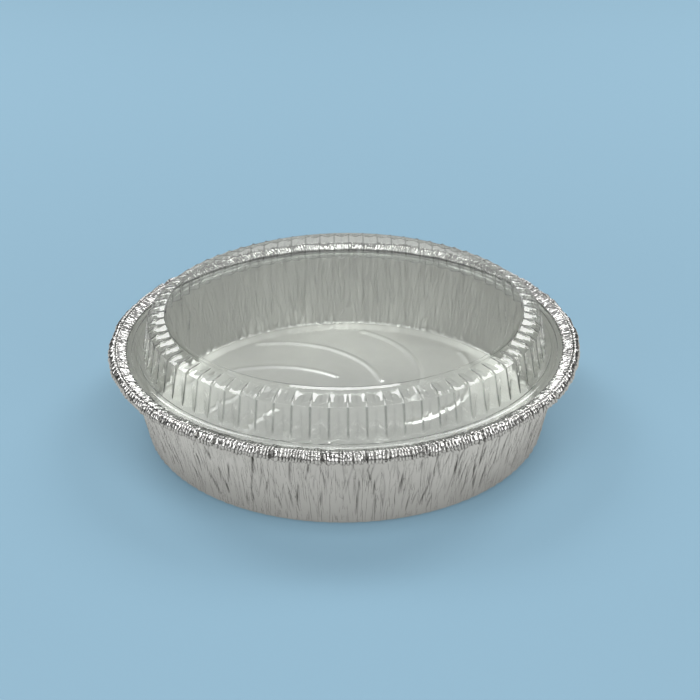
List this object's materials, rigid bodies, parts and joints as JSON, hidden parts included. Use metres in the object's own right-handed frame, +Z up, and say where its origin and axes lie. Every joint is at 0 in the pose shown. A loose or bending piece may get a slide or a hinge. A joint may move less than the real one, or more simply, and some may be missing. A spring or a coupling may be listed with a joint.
{
  "type": "foil food container",
  "caption": "Round crimped-rim foil food container with a clear fluted dome lid held under the folded rim.",
  "frame": {"origin": "centre of the base, on the plane the pan stands on", "axes": "+Z up along the pan's axis, +X to the right and -Y towards the viewer in the picture"},
  "size_m": [0.2296, 0.2295, 0.0622],
  "materials": {
    "foil": "bright crinkled household foil",
    "clear_plastic": "clear glossy thermoformed plastic sheet"
  },
  "bodies": {
    "root": {"foil_pan": "foil", "dome_lid": "clear_plastic"}
  },
  "joints": []
}
